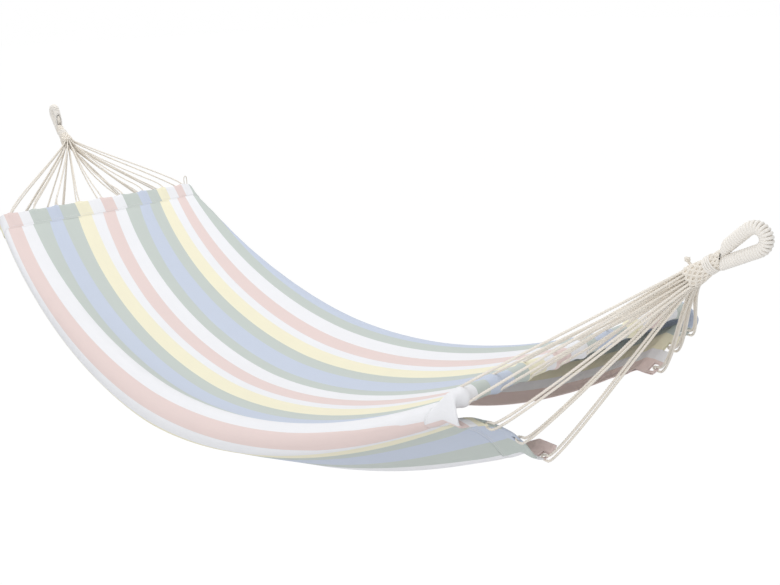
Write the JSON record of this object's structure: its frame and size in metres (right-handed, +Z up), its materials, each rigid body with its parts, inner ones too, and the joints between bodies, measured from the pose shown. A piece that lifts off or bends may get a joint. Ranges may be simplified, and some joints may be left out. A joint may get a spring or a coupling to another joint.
{
  "type": "spreader bar hammock",
  "caption": "Striped cloth hammock stretched between two round wooden spreader bars, with cords gathered into a neck and a whipped hanging ring at each end.",
  "frame": {"origin": "inner side of the left ring's tip, where the hook that holds it bears", "axes": "+X from the left ring to the right ring, +Y along the spreader bars away from the pictured side, +Z up"},
  "size_m": [2.4715, 0.6815, 0.6847],
  "materials": {
    "striped_cloth": "matte woven stripes",
    "bar_wood": "clear satin",
    "neck_cord": "matte plaited cord",
    "suspension_cord": "matte twisted cord",
    "whipping_cord": "matte wound cord",
    "rope_core": "matte rope"
  },
  "bodies": {
    "rings": {"left_ring_core": "rope_core", "left_ring_whipping": "whipping_cord", "right_ring_core": "rope_core", "right_ring_whipping": "whipping_cord"},
    "bed": {"bed_cloth": "striped_cloth", "left_hem": "striped_cloth", "right_hem": "striped_cloth", "left_neck": "neck_cord", "right_neck": "neck_cord", "left_throat_binding": "whipping_cord", "right_throat_binding": "whipping_cord", "left_bar_cord_1": "suspension_cord", "left_bar_cord_2": "suspension_cord", "left_bar_cord_3": "suspension_cord", "left_bar_cord_4": "suspension_cord", "left_bar_cord_5": "suspension_cord", "left_bar_cord_6": "suspension_cord", "left_bar_cord_7": "suspension_cord", "left_bar_cord_8": "suspension_cord", "left_bar_cord_9": "suspension_cord", "left_near_flap_cord_1": "suspension_cord", "left_near_flap_cord_2": "suspension_cord", "left_near_flap_cord_3": "suspension_cord", "left_far_flap_cord_1": "suspension_cord", "left_far_flap_cord_2": "suspension_cord", "left_far_flap_cord_3": "suspension_cord", "right_bar_cord_1": "suspension_cord", "right_bar_cord_2": "suspension_cord", "right_bar_cord_3": "suspension_cord", "right_bar_cord_4": "suspension_cord", "right_bar_cord_5": "suspension_cord", "right_bar_cord_6": "suspension_cord", "right_bar_cord_7": "suspension_cord", "right_bar_cord_8": "suspension_cord", "right_bar_cord_9": "suspension_cord", "right_near_flap_cord_1": "suspension_cord", "right_near_flap_cord_2": "suspension_cord", "right_near_flap_cord_3": "suspension_cord", "right_far_flap_cord_1": "suspension_cord", "right_far_flap_cord_2": "suspension_cord", "right_far_flap_cord_3": "suspension_cord", "right_cord_end": "suspension_cord", "left_tie_loop": "suspension_cord"},
    "left_spreader": {"left_bar": "bar_wood"},
    "right_spreader": {"right_bar": "bar_wood"}
  },
  "joints": [
    {"name": "swing", "type": "hinge", "parent": "rings", "child": "bed", "pos_m": [0.03023, 0, -0.05686], "axis": [1, 0, 0], "range_deg": [-45, 45]},
    {"name": "left_bar_roll", "type": "hinge", "parent": "bed", "child": "left_spreader", "pos_m": [0.28023, 0, -0.26286], "axis": [0, 1, 0], "continuous": true},
    {"name": "right_bar_roll", "type": "hinge", "parent": "bed", "child": "right_spreader", "pos_m": [2.12523, 0, -0.26286], "axis": [0, 1, 0], "continuous": true}
  ]
}
